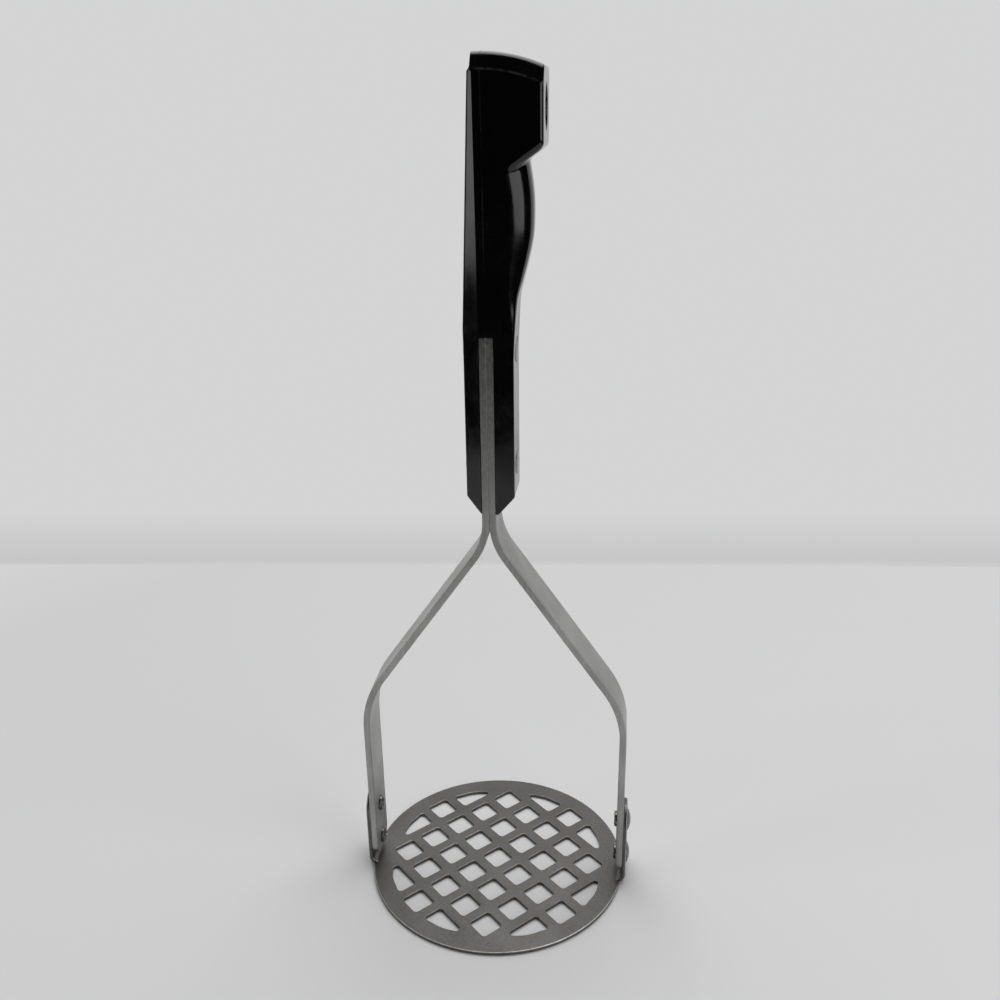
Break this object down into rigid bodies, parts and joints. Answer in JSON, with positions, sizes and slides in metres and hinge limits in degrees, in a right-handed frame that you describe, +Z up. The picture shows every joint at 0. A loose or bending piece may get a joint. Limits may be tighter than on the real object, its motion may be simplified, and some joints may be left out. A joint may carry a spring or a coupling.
{
  "type": "potato masher",
  "caption": "Potato masher with a pierced round steel plate, bent steel legs riveted to its ears and a black moulded handle with a finger swell and a hanging hole.",
  "frame": {"origin": "centre of the round plate, on the flat underside that it rests and mashes on", "axes": "+Z up from the plate along the handle, +X from the handle's back to its front, the way its finger swell points, and +Y along the width of the leg strips"},
  "size_m": [0.0936, 0.0888, 0.2668],
  "materials": {
    "handle_plastic": "black moulded plastic with a satin gloss",
    "leg_steel": "satin stainless bar, brushed along its length",
    "plate_steel": "satin stainless sheet, stamped and tumbled",
    "rivet_steel": "bright stainless rivet with a fine turned grain"
  },
  "bodies": {
    "root": {"handle": "handle_plastic", "left_leg": "leg_steel", "right_leg": "leg_steel", "masher_plate": "plate_steel", "left_upper_plate_rivet": "rivet_steel", "left_lower_plate_rivet": "rivet_steel", "right_upper_plate_rivet": "rivet_steel", "right_lower_plate_rivet": "rivet_steel", "upper_handle_rivet_sleeve": "rivet_steel", "upper_handle_rivet_pin": "rivet_steel", "lower_handle_rivet_sleeve": "rivet_steel", "lower_handle_rivet_pin": "rivet_steel"}
  },
  "joints": []
}
